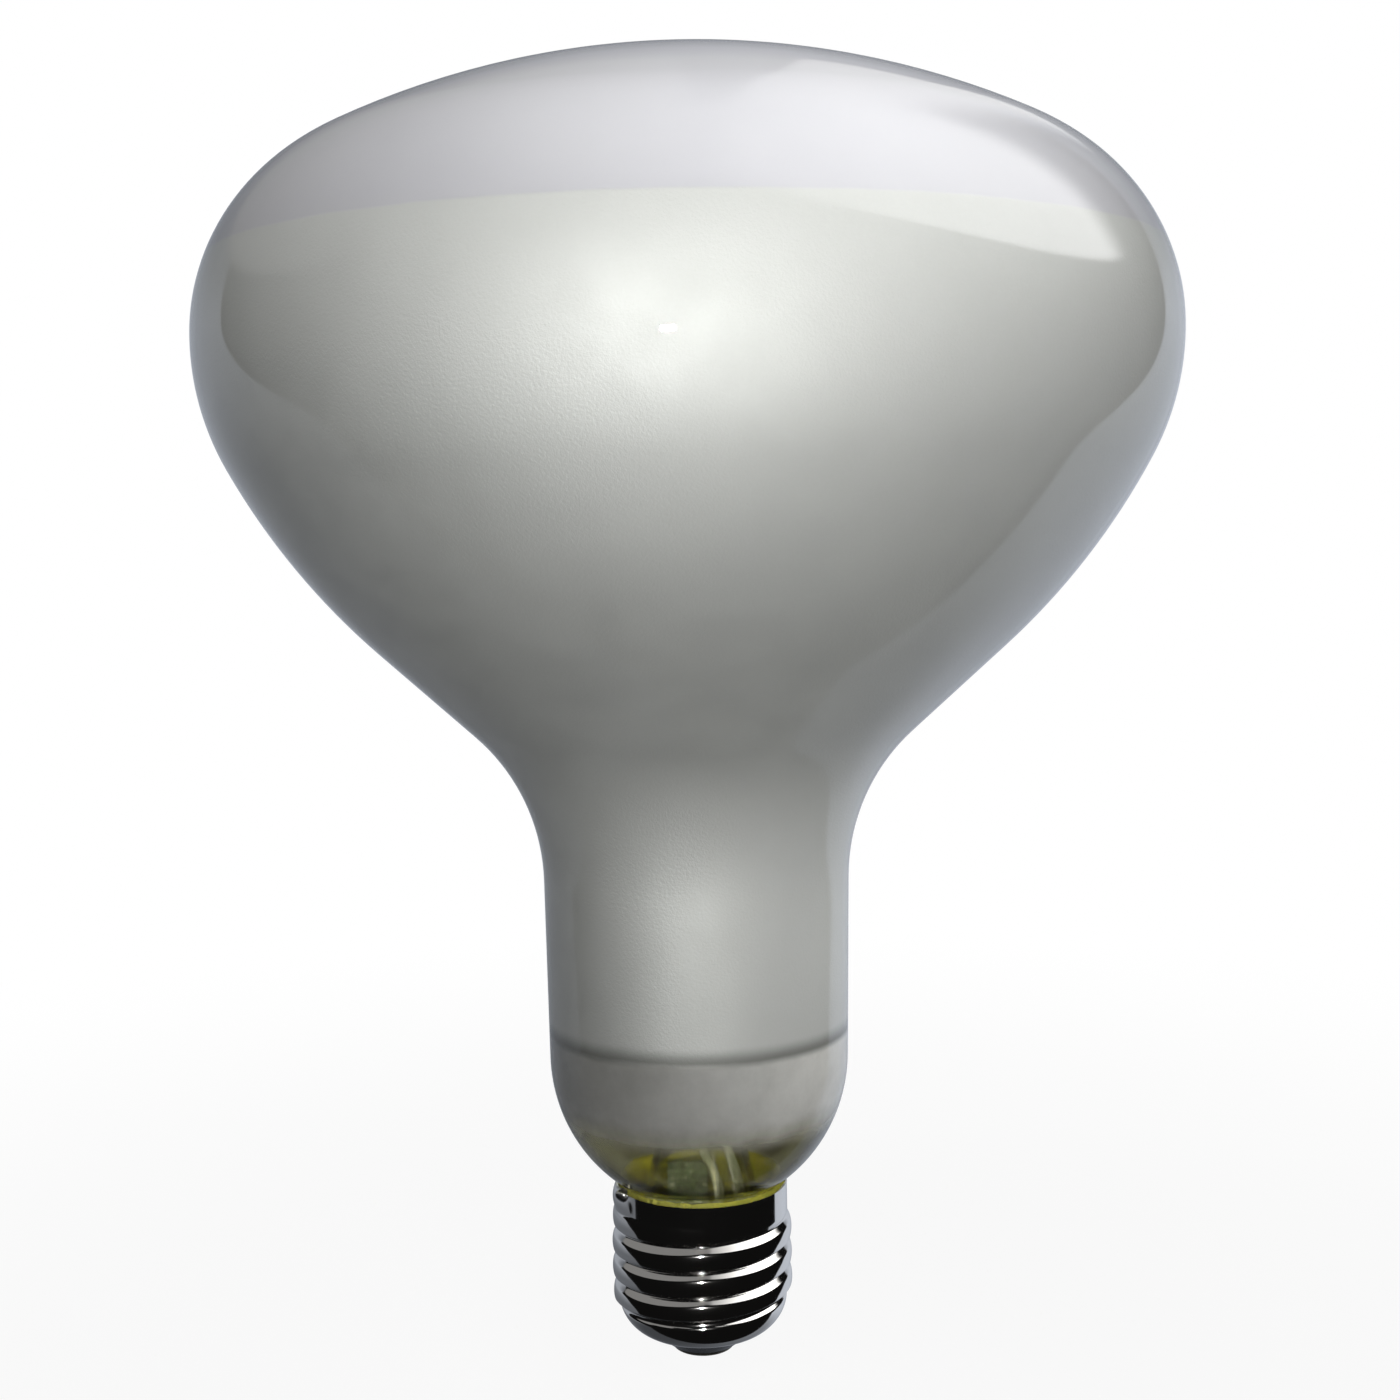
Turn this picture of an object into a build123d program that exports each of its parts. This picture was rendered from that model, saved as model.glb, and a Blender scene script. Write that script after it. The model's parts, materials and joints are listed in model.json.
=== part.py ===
from build123d import *
from math import asin, atan2, cos, degrees, hypot, radians, sin, sqrt
import os

# Reflector lamp with LED filaments and an E27 screw cap, in millimetres.
# The origin is the middle of the contact's end face, and +Z runs up the lamp's axis to the dome.

# Cap shell with its rolled thread
thread_crest_radius = 13.2
thread_root_radius = 12.1
thread_pitch = 3.629
thread_turns = 2.95
thread_runs = 4
thread_fade_turn = 0.3
thread_start_angle = 270
thread_root_land = 0.05
ridge_root_angle = 172
ridge_sink = 0.5
shell_wall = 0.3
skirt_radius = 12.6
skirt_height = 4.25
skirt_step = 1.0
core_height = 11.0
thread_foot_land = 1.0
foot_height = 8.2
lip_radius = 7.8
lip_height = 2.9

# Insulator, contact and solder
insulator_height = 6.2
insulator_nose_radius = 4.9
contact_radius = 4.7
contact_flat_radius = 3.7
contact_thickness = 0.8
eyelet_radius = 1.0
lead_hole_clearance = 0.25
solder_ball_radius = 1.4
solder_ball_sink = 0.75
solder_drop = 0.75
rim_joint_angle = 206

# Glass envelope
glass_wall = 1.0
cement_gap = 1.0
cement_depth = 7.4
cement_bead = 0.7
cement_bead_step = 0.1
spigot_depth = 8.25
spigot_fillet_radius = 2.0
rim_fillet_angle = 30
bowl_radius = 22.6
neck_bottom_radius = 21.85
neck_top_radius = 22.37
neck_length = 25.9
flare_radius = 30.1
cone_normal_angle = 47.7
underside_lower_radius = 101.0
underside_upper_radius = 39.2
underside_joint_angle = 28.6
head_radius = 71.2
shoulder_radius = 31.0
dome_radius = 118.3

# Reflector lining on the inside of the glass
lining_thickness = 0.2
lining_above_neck_bottom = 3.8
lining_above_widest = 10.9

# Glass stem
stem_wall = 1.0
stem_rim = 1.2
stem_tube_radius = 4.5
stem_flare_height = 32.6
stem_tube_length = 26.0
press_height = 12.0
press_width = 10.0
press_thickness = 4.4
press_round = 1.5
exhaust_radius = 1.5
exhaust_wall = 0.6
exhaust_length = 34.0

# LED filaments and the wires that carry them
filament_radius = 0.9
filament_tab_length = 3.0
filament_tab_width = 1.0
filament_tab_thickness = 0.4
filament_rise = 38.0
filament_angles = (0, 55, 125, 180, 235, 305)
bus_wire_radius = 0.45
lower_bus_radius = 8.0
lower_bus_sweep = 124
lower_bus_above_press = 9.0
upper_bus_radius = 10.0
support_wire_radius = 0.4
support_wire_sink = 5.0

# Leads between the driver and the filaments
lead_radius = 0.35
lead_spacing = 4.8
lead_bend = 0.7
lead_sweep_bend = 8.0
lead_straight_above_press = 3.0
live_lead_start = 6.2
live_lead_slack = 1.3
return_lead_start = 3.4
return_lead_slack = 2.4
lead_first_knee = 5.9
lead_second_knee = 12.1
lead_third_knee = 20.5
sleeve_radius = 0.75
sleeve_clearance = 0.05
sleeve_above_board = 2.6
sleeve_below_tube = 2.6

# Driver board and its components
board_thickness = 1.0
board_width = 16.4
board_offset = 2.0
board_mouth_clearance = 0.9
tongue_left = 5.2
tongue_right = 1.0
tongue_height = 10.8
capacitor_radius = 3.15
capacitor_length = 7.0
capacitor_groove = 0.25
choke_radius = 3.0
choke_length = 7.0
choke_flange = 1.0
choke_waist = 0.6
part_spacing = 5.4
component_lift = 1.3
chip_width = 4.9
chip_depth = 3.9
chip_height = 1.5
chip_bevel = 0.3
bridge_width = 4.7
bridge_depth = 3.8
bridge_height = 2.0
resistor_chip_width = 2.0
resistor_chip_depth = 1.2
resistor_chip_height = 0.6
resistor_chip_pitch = 2.0
resistor_chip_count = 3
fuse_radius = 1.3
fuse_length = 6.0
fuse_lift = 0.9
fuse_end_round = 0.5
shell_lead_radius = 0.2
shell_lead_outer_gap = 0.07
shell_lead_over_rim = 0.3
shell_lead_bend = 0.3
shell_lead_sweep_bend = 4.0
shell_lead_below_rim = 1.0
shell_lead_drop = 1.1

# Heights and radii that follow from the sizes above
thread_depth = thread_crest_radius - thread_root_radius
thread_round = (thread_depth**2 + thread_pitch**2 / 4) / (4 * thread_depth)
core_radius = thread_root_radius + thread_root_land
thread_start = foot_height + thread_foot_land
core_top = foot_height + core_height
skirt_bottom = core_top + skirt_step
rim_height = skirt_bottom + skirt_height
shell_inner_radius = skirt_radius - shell_wall
spigot_radius = shell_inner_radius - cement_gap
mouth_height = rim_height - spigot_depth
stem_seat_radius = spigot_radius - glass_wall
press_base = mouth_height + stem_rim + stem_flare_height + stem_tube_length
press_top = press_base + press_height
lower_bus_height = press_top + lower_bus_above_press
upper_bus_height = lower_bus_height + filament_rise
board_top = mouth_height - board_mouth_clearance
board_front = board_offset
board_back = board_offset + board_thickness


def on_circle(centre, radius, angle):
    """A point in the XZ plane, with the angle in degrees from +X towards +Z."""
    x, z = centre
    return (x + radius * cos(radians(angle)), 0, z + radius * sin(radians(angle)))


def arc(centre, radius, start, end):
    """An arc in the XZ plane about a centre, from one angle to another."""
    angles = (start, (start + end) / 2, end)
    return ThreePointArc(*(on_circle(centre, radius, angle) for angle in angles))


def joined(edges):
    """The edges of an outline with straight lines where one ends short of the next."""
    outline = []
    for edge in edges:
        if outline and (outline[-1] @ 1 - edge @ 0).length > 1e-6:
            outline.append(Line(outline[-1] @ 1, edge @ 0))
        outline.append(edge)
    return outline


def spun(edges, *corners):
    """A solid of revolution about Z from an outline that is closed through the corners given."""
    edges = joined(edges)
    points = [edges[-1] @ 1, *corners, edges[0] @ 0]
    return revolve(make_face(edges + Polyline(*points).edges()), Axis.Z)


def ring(points):
    """A solid of revolution about Z from the corners of a section, as radius and height."""
    return revolve(make_face(Polyline(*((r, 0, z) for r, z in points), close=True)), Axis.Z)


def post(radius, bottom, top):
    """A round post on the lamp's axis."""
    return Pos(0, 0, bottom) * Cylinder(radius, top - bottom, align=(Align.CENTER, Align.CENTER, Align.MIN))


def wire(points, radius, bends, bore=0):
    """A round wire, or a sleeve if it has a bore, along straight runs joined by arcs."""
    path = FilletPolyline(*points, radius=bends) if bends else Line(*points)
    section = Circle(radius) - Circle(bore) if bore else Circle(radius)
    return sweep(Plane(path @ 0, z_dir=path % 0) * section, path=path)


# Outline of the glass, as centres of arcs in the XZ plane that meet at a common tangent

neck_lean = degrees(asin((neck_top_radius - neck_bottom_radius) / neck_length))
fillet_centre = (
    spigot_radius + spigot_fillet_radius,
    rim_height - spigot_fillet_radius * sin(radians(rim_fillet_angle)),
)
bowl_x = neck_bottom_radius - bowl_radius * cos(radians(neck_lean))
bowl_reach = bowl_radius + spigot_fillet_radius
bowl_centre = (bowl_x, fillet_centre[1] + sqrt(bowl_reach**2 - (fillet_centre[0] - bowl_x) ** 2))
bowl_angle = degrees(atan2(bowl_centre[1] - fillet_centre[1], fillet_centre[0] - bowl_x))
neck_bottom = on_circle(bowl_centre, bowl_radius, -neck_lean)
neck_bottom_height = neck_bottom[2]
neck_top_height = neck_bottom_height + neck_length * cos(radians(neck_lean))
flare_centre = (
    neck_top_radius + flare_radius * cos(radians(neck_lean)),
    neck_top_height - flare_radius * sin(radians(neck_lean)),
)
cone_start = on_circle(flare_centre, flare_radius, 180 - cone_normal_angle)
cone_cos, cone_sin = cos(radians(cone_normal_angle)), sin(radians(cone_normal_angle))
joint_cos, joint_sin = cos(radians(underside_joint_angle)), sin(radians(underside_joint_angle))
arcs_reach = underside_lower_radius * (joint_cos - cone_cos) + underside_upper_radius * (1 - joint_cos)
cone_length = (head_radius - cone_start[0] - arcs_reach) / cone_sin
lower_centre = (
    cone_start[0] + cone_length * cone_sin - underside_lower_radius * cone_cos,
    cone_start[2] + cone_length * cone_cos + underside_lower_radius * cone_sin,
)
upper_centre = (
    lower_centre[0] + (underside_lower_radius - underside_upper_radius) * joint_cos,
    lower_centre[1] - (underside_lower_radius - underside_upper_radius) * joint_sin,
)
widest_height = upper_centre[1]
shoulder_centre = (head_radius - shoulder_radius, widest_height)
dome_drop = sqrt((dome_radius - shoulder_radius) ** 2 - shoulder_centre[0] ** 2)
dome_centre = (0, widest_height - dome_drop)
dome_angle = degrees(atan2(dome_drop, shoulder_centre[0]))


def glass_body(inset):
    """The solid inside the bulb's surface, with that surface moved inwards by inset."""
    spigot = spigot_radius - inset
    outline = [
        Line((spigot, 0, mouth_height), (spigot, 0, fillet_centre[1])),
        arc(fillet_centre, spigot_fillet_radius + inset, 180, 180 - bowl_angle),
        arc(bowl_centre, bowl_radius - inset, -bowl_angle, -neck_lean),
        arc(flare_centre, flare_radius + inset, 180 - neck_lean, 180 - cone_normal_angle),
        arc(lower_centre, underside_lower_radius - inset, -cone_normal_angle, -underside_joint_angle),
        arc(upper_centre, underside_upper_radius - inset, -underside_joint_angle, 0),
        arc(shoulder_centre, shoulder_radius - inset, 0, dome_angle),
        arc(dome_centre, dome_radius - inset, dome_angle, 90),
    ]
    return spun(outline, (0, 0, mouth_height))


def glass_envelope():
    """The blown shell, open at its foot, where the stem is fused in."""
    return glass_body(0) - glass_body(glass_wall)


def reflector_coating():
    """The aluminium lining between the neck and the shoulder."""
    bottom = neck_bottom_height + lining_above_neck_bottom
    band = post(head_radius, bottom, widest_height + lining_above_widest)
    return band & glass_body(glass_wall) - glass_body(glass_wall + lining_thickness)


# Cap shell

foot_reach = core_radius - lip_radius
foot_drop = foot_height - lip_height
foot_radius = (foot_reach**2 + foot_drop**2) / (2 * foot_reach)
foot_centre = (core_radius - foot_radius, foot_height)
foot_angle = -degrees(atan2(foot_drop, lip_radius - foot_centre[0]))


def ridge_section(inset):
    """Section of one thread ridge: a round crest between two round roots."""
    crest = (thread_crest_radius - thread_round, 0)
    low = (thread_root_radius + thread_round, -thread_pitch / 2)
    high = (thread_root_radius + thread_round, thread_pitch / 2)
    lean = degrees(atan2(thread_pitch / 2, crest[0] - low[0]))
    flanks = [
        arc(low, thread_round + inset, ridge_root_angle, lean),
        arc(crest, thread_round - inset, lean - 180, 180 - lean),
        arc(high, thread_round + inset, -lean, -ridge_root_angle),
    ]
    bottom, top = flanks[0] @ 0, flanks[-1] @ 1
    back = core_radius - inset - ridge_sink
    closing = Polyline(top, (back, 0, top.Z), (back, 0, bottom.Z), bottom)
    return make_face(flanks + closing.edges())


def thread_ridge(inset):
    """The helical ridge, as runs of less than a turn each, and its two ends, which sink into the core."""
    section = ridge_section(inset)
    run_turns = thread_turns / thread_runs
    run_rise = thread_pitch * run_turns
    run = sweep(section, path=Helix(thread_pitch, run_rise, thread_crest_radius), is_frenet=True)
    steps = range(thread_runs + 1)
    places = [Pos(0, 0, step * run_rise) * Rot(0, 0, 360 * step * run_turns) for step in steps]
    runs = [place * run for place in places[:-1]]
    rise = thread_pitch * thread_fade_turn
    slope = degrees(atan2(thread_depth + shell_wall, rise))
    fade = Helix(thread_pitch / cos(radians(slope)), rise, thread_crest_radius, cone_angle=-slope)
    end = sweep(section, path=fade, is_frenet=True)
    upper_end = places[-1] * end
    lower_end = Rot(180, 0, 0) * end
    on_cap = Pos(0, 0, thread_start) * Rot(0, 0, thread_start_angle)
    return [on_cap * piece for piece in (*runs, upper_end, lower_end)]


def shell_body(inset, throat_bottom=None):
    """The solid inside the shell's surface, moved inwards by inset, with or without a throat at the lip."""
    core, skirt = core_radius - inset, skirt_radius - inset
    foot = arc(foot_centre, foot_radius - inset, foot_angle, 0)
    lip = foot @ 0
    wall = [(core, 0, foot_height), (core, 0, core_top), (skirt, 0, skirt_bottom), (skirt, 0, rim_height)]
    outline = [foot, *Polyline(*wall).edges()]
    bottom = lip.Z
    if throat_bottom is not None:
        bottom = throat_bottom
        outline.insert(0, Line((lip.X, 0, bottom), lip))
    body = spun(outline, (0, 0, rim_height), (0, 0, bottom))
    for piece in thread_ridge(inset):
        body += piece
    return body


shell_outside = shell_body(0)
shell_inside = shell_body(shell_wall, throat_bottom=0)


def cap_insulator():
    """Black plug in the foot of the shell, with a nose that carries the contact."""
    hole = lead_radius + lead_hole_clearance
    section = [
        (hole, contact_thickness),
        (insulator_nose_radius, contact_thickness),
        (lip_radius, lip_height),
        (skirt_radius, lip_height),
        (skirt_radius, insulator_height),
        (hole, insulator_height),
    ]
    return ring(section) & shell_inside


def centre_contact():
    """Contact plate with a rolled edge and an eyelet."""
    flat = Line((eyelet_radius, 0, 0), (contact_flat_radius, 0, 0))
    edge = TangentArc((contact_flat_radius, 0, 0), (contact_radius, 0, contact_thickness), tangent=(1, 0, 0))
    return spun([flat, edge], (eyelet_radius, 0, contact_thickness))


def cap_cement():
    """Cement that fills the gap between the glass and the shell, with a bead over the rim."""
    bead_radius = skirt_radius - cement_bead_step
    filling = post(thread_crest_radius, rim_height - cement_depth, rim_height) & shell_inside
    bead = post(bead_radius, rim_height, rim_height + cement_bead)
    return filling + bead - glass_body(0)


# Stem, LED filaments and their wires

def stem_surface(inset, top):
    """The solid inside the flared tube's surface, moved inwards by inset."""
    low = mouth_height + stem_rim
    flare_top = low + stem_flare_height
    reach = stem_seat_radius - stem_tube_radius
    radius = (reach**2 + stem_flare_height**2) / (2 * reach)
    centre = (stem_tube_radius + radius, flare_top)
    lowest = 180 + degrees(asin(stem_flare_height / (radius + inset)))
    flare = arc(centre, radius + inset, lowest, 180)
    rim = Line(((flare @ 0).X, 0, mouth_height), flare @ 0)
    tube = Line(flare @ 1, (stem_tube_radius - inset, 0, top))
    return spun([rim, flare, tube], (0, 0, top), (0, 0, mouth_height))


def glass_stem(wires):
    """Flare, tube, flat press and exhaust tube, fused in one, with the wires sealed in."""
    tube = stem_surface(0, press_base + stem_tube_radius) - stem_surface(stem_wall, press_base)
    press_outline = RectangleRounded(press_width, press_thickness, press_round)
    press = Pos(0, 0, press_base) * extrude(press_outline, press_height)
    exhaust_bottom = press_base - exhaust_length
    tip = Pos(0, 0, exhaust_bottom) * Sphere(exhaust_radius)
    bore = post(exhaust_radius - exhaust_wall, exhaust_bottom, press_base)
    exhaust = post(exhaust_radius, exhaust_bottom, press_base) + tip - bore
    stem = tube + press + exhaust
    for piece in wires:
        stem -= piece
    return stem


def bus(radius, height, sweep_angle, middle_angle):
    """A ring or part ring of wire about the lamp's axis."""
    section = make_face(CenterArc((0, 0, 0), bus_wire_radius, 0, 360))
    turned = revolve(Pos(radius, 0, height) * Rot(90, 0, 0) * section, Axis.Z, revolution_arc=sweep_angle)
    return Rot(0, 0, middle_angle - sweep_angle / 2) * turned


def led_filament(angle, buses):
    """A coated strip with a metal tab at each end, leaning out from the lower ring to the upper one."""
    lean_out = upper_bus_radius - lower_bus_radius
    length = hypot(lean_out, filament_rise)
    tab = Box(filament_tab_thickness, filament_tab_width, length)
    strip = tab + Cylinder(filament_radius, length - 2 * filament_tab_length)
    middle = Pos((lower_bus_radius + upper_bus_radius) / 2, 0, (lower_bus_height + upper_bus_height) / 2)
    lean = degrees(atan2(lean_out, filament_rise))
    placed = Rot(0, 0, angle) * middle * Rot(0, lean, 0) * strip
    for piece in buses:
        placed -= piece
    return placed


def support_wire(upper_bus):
    """Upright wire set in the press, with a cross bar that carries the upper ring."""
    upright = post(support_wire_radius, press_top - support_wire_sink, upper_bus_height)
    bar = Pos(0, 0, upper_bus_height) * Rot(90, 0, 0) * Cylinder(support_wire_radius, 2 * upper_bus_radius)
    return upright + bar - upper_bus


# Routes of the two leads from the board, through the stem, to the lower rings

lead_height = board_top - lead_radius - lead_hole_clearance
lead_clear = board_front - lead_bend - lead_radius


def lead_points(start_x, slack, side):
    """Corners of a lead's route: off the board, up the flare with some slack, and up the tube."""
    tube_x = side * lead_spacing / 2
    flare_foot = mouth_height + stem_rim
    return [
        (start_x, board_front, lead_height),
        (start_x, lead_clear, lead_height),
        (start_x - slack / 3, lead_clear / 2, flare_foot + lead_first_knee),
        (tube_x + slack, lead_clear / 4, flare_foot + lead_second_knee),
        (tube_x, 0, flare_foot + lead_third_knee),
        (tube_x, 0, press_top + lead_straight_above_press),
        (side * lower_bus_radius, 0, lower_bus_height),
    ]


live_route = lead_points(live_lead_start, live_lead_slack, 1)
return_route = lead_points(return_lead_start, return_lead_slack, -1)
lead_bends = [lead_bend, lead_sweep_bend, lead_sweep_bend, lead_sweep_bend, 2 * lead_bend]


def along(start, end, distance):
    """The point at a distance from the start of a run towards its end."""
    return tuple(Vector(start) + (Vector(end) - Vector(start)).normalized() * distance)


def lead_sleeve(route):
    """Insulating sleeve on a lead, from just above the board into the flare."""
    first = along(route[1], route[2], sleeve_above_board)
    last = along(route[4], route[3], sleeve_below_tube)
    points = [first, route[2], route[3], last]
    return wire(points, sleeve_radius, lead_sweep_bend, lead_radius + sleeve_clearance)


# Driver board and components

component_height = insulator_height + component_lift + capacitor_radius


def driver_board():
    """Upright board that stands on the insulator, with a tongue that reaches up into the flare."""
    height = board_top - insulator_height
    align = (Align.CENTER, Align.MIN, Align.MIN)
    body = Pos(0, board_front, insulator_height) * Box(board_width, board_thickness, height, align=align)
    tongue_box = Box(tongue_left + tongue_right, board_thickness, tongue_height, align=Align.MIN)
    return body + Pos(-tongue_left, board_front, board_top) * tongue_box


def on_board_front(shape, x):
    """A round component, made standing on XY, set on the front of the board."""
    return Pos(x, board_front, component_height) * Rot(90, 0, 0) * shape


def smoothing_capacitor():
    """Electrolytic can with a crimp groove near its base."""
    can = post(capacitor_radius, 0, capacitor_length)
    groove = Pos(0, 0, capacitor_length / 5) * Torus(capacitor_radius, capacitor_groove)
    return on_board_front(can - groove, part_spacing)


def choke_coil():
    """Drum choke: a wound waist between two flanges."""
    section = [
        (0, 0),
        (choke_radius, 0),
        (choke_radius, choke_flange),
        (choke_radius - choke_waist, choke_flange),
        (choke_radius - choke_waist, choke_length - choke_flange),
        (choke_radius, choke_length - choke_flange),
        (choke_radius, choke_length),
        (0, choke_length),
    ]
    return on_board_front(ring(section), -part_spacing)


def flat_package(width, depth, height, x):
    """A moulded package with bevelled top edges, set on the back of the board."""
    align = (Align.CENTER, Align.MIN, Align.CENTER)
    body = Pos(x, board_back, component_height) * Box(width, height, depth, align=align)
    top = body.faces().sort_by(Axis.Y)[-1]
    return chamfer(top.edges(), chip_bevel)


def chip_resistors():
    """A column of small chip resistors on the middle of the board's back."""
    first = component_height - (resistor_chip_count - 1) * resistor_chip_pitch / 2
    align = (Align.CENTER, Align.MIN, Align.CENTER)
    chips = []
    for index in range(resistor_chip_count):
        place = Pos(0, board_back, first + index * resistor_chip_pitch)
        chips.append(place * Box(resistor_chip_width, resistor_chip_height, resistor_chip_depth, align=align))
    return Compound(children=chips)


def fuse_resistor():
    """Fusible resistor on the axis: its lower lead ends in the contact, its upper one on the board."""
    bottom = insulator_height + fuse_lift
    body = fillet(post(fuse_radius, bottom, bottom + fuse_length).edges(), fuse_end_round)
    lower = post(lead_radius, contact_thickness / 3, bottom + fuse_end_round)
    knee = bottom + fuse_length + lead_bend
    upper = wire([(0, 0, knee - 2 * lead_bend), (0, 0, knee), (0, board_front, knee)], lead_radius, lead_bend)
    return body + lower + upper


def shell_lead():
    """Thin wire from the board, up between glass and shell and over the rim to its solder."""
    inside = (spigot_radius + core_radius - shell_wall) / 2
    glass_at_rim = fillet_centre[0] - spigot_fillet_radius * cos(radians(rim_fillet_angle))
    at_rim = (shell_inner_radius + glass_at_rim) / 2
    outside = skirt_radius + shell_lead_outer_gap + shell_lead_radius
    crown = rim_height + shell_lead_over_rim
    start_x = -board_width / 2 + 2 * lead_radius
    climb = [
        (inside, board_top),
        (inside, skirt_bottom),
        (at_rim, rim_height - shell_lead_below_rim),
        (at_rim, crown),
        (outside, crown),
        (outside, rim_height - shell_lead_drop),
    ]
    turn = Rot(0, 0, rim_joint_angle)
    points = [(start_x, board_front, lead_height), (start_x, lead_clear, lead_height)]
    points += [tuple((turn * Pos(radius, 0, height)).position) for radius, height in climb]
    sharp, gentle = shell_lead_bend, shell_lead_sweep_bend
    return wire(points, shell_lead_radius, [sharp, sharp, gentle, gentle, sharp, sharp])


def rim_solder(lead):
    """Solder ball on the outside of the rim, over the end of the thin wire."""
    place = Rot(0, 0, rim_joint_angle) * Pos(skirt_radius - solder_ball_sink, 0, rim_height - solder_drop)
    skirt = post(skirt_radius, mouth_height, rim_height + solder_ball_radius)
    return place * Sphere(solder_ball_radius) - skirt - lead


# Assembly

lower_live = bus(lower_bus_radius, lower_bus_height, lower_bus_sweep, 0)
lower_return = bus(lower_bus_radius, lower_bus_height, lower_bus_sweep, 180)
upper_ring = bus(upper_bus_radius, upper_bus_height, 360, 0)
live_lead = wire(live_route, lead_radius, lead_bends) - lower_live
return_lead = wire(return_route, lead_radius, lead_bends) - lower_return
upright = support_wire(upper_ring)
fuse = fuse_resistor()
rim_lead = shell_lead()
shell = shell_outside - shell_inside
eyelet = post(eyelet_radius, 0, contact_thickness)

pieces = {
    "glass_envelope": glass_envelope(),
    "reflector_coating": reflector_coating(),
    "glass_stem": glass_stem([live_lead, return_lead, upright]),
    "lead_wire_live": live_lead,
    "lead_wire_return": return_lead,
    "lead_sleeve_live": lead_sleeve(live_route),
    "lead_sleeve_return": lead_sleeve(return_route),
    "lower_bus_live": lower_live,
    "lower_bus_return": lower_return,
    "upper_bus": upper_ring,
    "support_wire": upright,
    "driver_board": driver_board(),
    "smoothing_capacitor": smoothing_capacitor(),
    "choke_coil": choke_coil(),
    "bridge_rectifier": flat_package(bridge_width, bridge_depth, bridge_height, -part_spacing),
    "driver_chip": flat_package(chip_width, chip_depth, chip_height, part_spacing),
    "chip_resistors": chip_resistors(),
    "fuse_resistor": fuse,
    "shell_lead": rim_lead,
    "cap_shell": shell,
    "cap_insulator": cap_insulator(),
    "centre_contact": centre_contact(),
    "contact_solder": eyelet - fuse,
    "rim_solder": rim_solder(rim_lead),
    "cap_cement": cap_cement() - rim_lead,
}
for number, angle in enumerate(filament_angles, start=1):
    pieces[f"led_filament_{number}"] = led_filament(angle, [lower_live, lower_return, upper_ring])

os.makedirs("parts", exist_ok=True)
for name, shape in pieces.items():
    export_step(shape, f"parts/{name}.step")
print(f"widest {2 * head_radius:.1f} at {widest_height:.1f}, apex {dome_centre[1] + dome_radius:.1f}")
print(f"rim {rim_height:.2f}, neck {neck_bottom_height:.1f} to {neck_top_height:.1f}, cone {cone_length:.1f}")
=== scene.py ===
# %% [markdown]
# # A reflector lamp with LED filaments
#
# The lamp is a blown glass mushroom on an E27 screw cap. The glass is clear, but most of its inside
# carries a satin aluminium lining, the front is frosted, and only the foot is left clear, so that
# the driver shows there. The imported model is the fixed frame: its nodes are never moved, and every
# new piece is placed in its coordinates.

# %% Load the frame
import json
from math import asin, atan2, cos, degrees, exp, floor, log, pi, radians, sin, sqrt

import bmesh
import bpy
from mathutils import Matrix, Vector, noise


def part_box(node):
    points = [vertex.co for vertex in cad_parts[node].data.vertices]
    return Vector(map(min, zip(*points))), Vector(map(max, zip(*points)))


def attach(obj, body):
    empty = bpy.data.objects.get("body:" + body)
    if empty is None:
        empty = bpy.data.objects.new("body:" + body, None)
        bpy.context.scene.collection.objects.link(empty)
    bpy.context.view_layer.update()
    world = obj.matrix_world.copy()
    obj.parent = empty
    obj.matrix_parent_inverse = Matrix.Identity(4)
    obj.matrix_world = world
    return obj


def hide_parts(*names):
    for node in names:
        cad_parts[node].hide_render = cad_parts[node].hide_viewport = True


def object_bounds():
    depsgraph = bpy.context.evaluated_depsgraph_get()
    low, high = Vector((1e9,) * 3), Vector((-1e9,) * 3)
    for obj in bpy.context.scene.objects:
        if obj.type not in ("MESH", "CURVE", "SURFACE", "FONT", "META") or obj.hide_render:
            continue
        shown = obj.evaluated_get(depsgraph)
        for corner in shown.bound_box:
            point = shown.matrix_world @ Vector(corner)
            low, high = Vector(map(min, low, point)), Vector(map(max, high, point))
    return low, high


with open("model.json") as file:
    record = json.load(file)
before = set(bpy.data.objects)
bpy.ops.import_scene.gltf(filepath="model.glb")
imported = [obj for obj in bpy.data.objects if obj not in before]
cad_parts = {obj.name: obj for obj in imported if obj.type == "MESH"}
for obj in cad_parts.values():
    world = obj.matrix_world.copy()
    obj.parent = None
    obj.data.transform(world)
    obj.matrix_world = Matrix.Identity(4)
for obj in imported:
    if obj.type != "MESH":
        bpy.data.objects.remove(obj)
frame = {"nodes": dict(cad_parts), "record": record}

MM = 0.001
cad_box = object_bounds()
cad_corners = [[round(axis / MM, 1) for axis in corner] for corner in cad_box]
print("nodes", len(frame["nodes"]), "box in mm", cad_corners)

# %% [markdown]
# ## Camera
#
# The photograph was taken with the lens level and a little below the lamp's widest circle, close
# enough that the head looks larger than it is. The lens stays level here too, and the picture is
# framed by shifting the lens, as on a view camera, because tilting the camera instead would make
# the lamp's axis converge.

# %% Camera
image_width = 1400
focal_pixels = 1986
horizon_row = 514.4
axis_column = 690.5
sensor_width = 36
camera_distance = 292.5 * MM
camera_height = 122.3 * MM
camera_roll = 0.016

camera_data = bpy.data.cameras.new("camera")
camera_data.sensor_width = sensor_width
camera_data.lens = sensor_width * focal_pixels / image_width
camera_data.shift_x = 0.5 - axis_column / image_width
camera_data.shift_y = horizon_row / image_width - 0.5
camera_data.clip_start = 10 * MM
camera = bpy.data.objects.new("camera", camera_data)
camera.location = (0, -camera_distance, camera_height)
camera.rotation_euler = (pi / 2, camera_roll, 0)
bpy.context.scene.collection.objects.link(camera)
bpy.context.scene.camera = camera
bpy.context.scene.view_settings.view_transform = "Standard"
lens_shift = (round(camera_data.shift_x, 4), round(camera_data.shift_y, 4))
print("lens", round(camera_data.lens, 2), "shift", lens_shift)

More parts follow.
